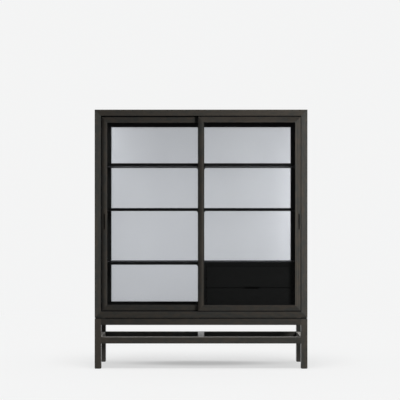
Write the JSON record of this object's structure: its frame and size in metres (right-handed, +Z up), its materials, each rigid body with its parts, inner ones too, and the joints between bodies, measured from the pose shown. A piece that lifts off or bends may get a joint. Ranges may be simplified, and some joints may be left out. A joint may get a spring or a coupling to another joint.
{
  "type": "kitchen cabinet",
  "caption": "Glazed display case of dark stained timber with framed sliding glass doors, shelves and stacked drawers inside, standing on an open leg frame with stretchers.",
  "frame": {"origin": "on the floor, under the middle of the cabinet's footprint", "axes": "+X to the right of someone facing the doors, +Y towards the back, +Z up"},
  "size_m": [1.4, 0.45, 1.705],
  "materials": {
    "stained_oak": "dark grey brown stain, satin",
    "black_lacquer": "black, satin",
    "drawer_wood": "black stain, matt",
    "clear_glass": "clear, polished",
    "frosted_glass": "frosted, translucent",
    "nylon": "matt",
    "rubber_pad": "matt",
    "steel": "zinc plated"
  },
  "bodies": {
    "cabinet": {"back_beads": "black_lacquer", "back_bottom_rail": "black_lacquer", "back_centre_stile": "black_lacquer", "back_left_pane": "frosted_glass", "back_left_stile": "black_lacquer", "back_right_pane": "frosted_glass", "back_right_stile": "black_lacquer", "back_top_rail": "black_lacquer", "case_bolts": "steel", "case_bottom": "stained_oak", "case_left_side": "stained_oak", "case_right_side": "stained_oak", "case_spacers": "rubber_pad", "case_top": "stained_oak", "centre_divider": "black_lacquer", "cross_stretcher": "stained_oak", "drawer_case_back": "black_lacquer", "drawer_case_bottom": "black_lacquer", "drawer_case_sides": "black_lacquer", "drawer_case_top": "black_lacquer", "drawer_runners": "black_lacquer", "foot_pads": "rubber_pad", "front_stretcher": "stained_oak", "leg_front_left": "stained_oak", "leg_front_right": "stained_oak", "leg_rear_left": "stained_oak", "leg_rear_right": "stained_oak", "lower_shelf_left": "black_lacquer", "lower_shelf_right": "black_lacquer", "middle_shelf_left": "black_lacquer", "middle_shelf_right": "black_lacquer", "rear_stretcher": "stained_oak", "shelf_cleats": "black_lacquer", "side_stretchers": "stained_oak", "sill_strips": "nylon", "stand_front_rail": "stained_oak", "stand_rear_rail": "stained_oak", "stand_side_rails": "stained_oak", "upper_shelf_left": "black_lacquer", "upper_shelf_right": "black_lacquer"},
    "left_door": {"left_door_beads": "stained_oak", "left_door_bottom_rail": "stained_oak", "left_door_glass": "clear_glass", "left_door_meeting_stile": "stained_oak", "left_door_outer_stile": "stained_oak", "left_door_top_rail": "stained_oak"},
    "right_door": {"right_door_beads": "stained_oak", "right_door_bottom_rail": "stained_oak", "right_door_glass": "clear_glass", "right_door_meeting_stile": "stained_oak", "right_door_outer_stile": "stained_oak", "right_door_top_rail": "stained_oak"},
    "upper_drawer": {"upper_drawer_back": "drawer_wood", "upper_drawer_bottom": "drawer_wood", "upper_drawer_front": "black_lacquer", "upper_drawer_sides": "drawer_wood"},
    "lower_drawer": {"lower_drawer_back": "drawer_wood", "lower_drawer_bottom": "drawer_wood", "lower_drawer_front": "black_lacquer", "lower_drawer_sides": "drawer_wood"}
  },
  "joints": [
    {"name": "right_door_slide", "type": "slide", "parent": "cabinet", "child": "right_door", "axis": [-1, 0, 0], "range_m": [0, 0.6355]},
    {"name": "left_door_slide", "type": "slide", "parent": "cabinet", "child": "left_door", "axis": [1, 0, 0], "range_m": [0, 0.6355]},
    {"name": "upper_drawer_slide", "type": "slide", "parent": "cabinet", "child": "upper_drawer", "axis": [0, -1, 0], "range_m": [0, 0.012]},
    {"name": "lower_drawer_slide", "type": "slide", "parent": "cabinet", "child": "lower_drawer", "axis": [0, -1, 0], "range_m": [0, 0.012]}
  ]
}
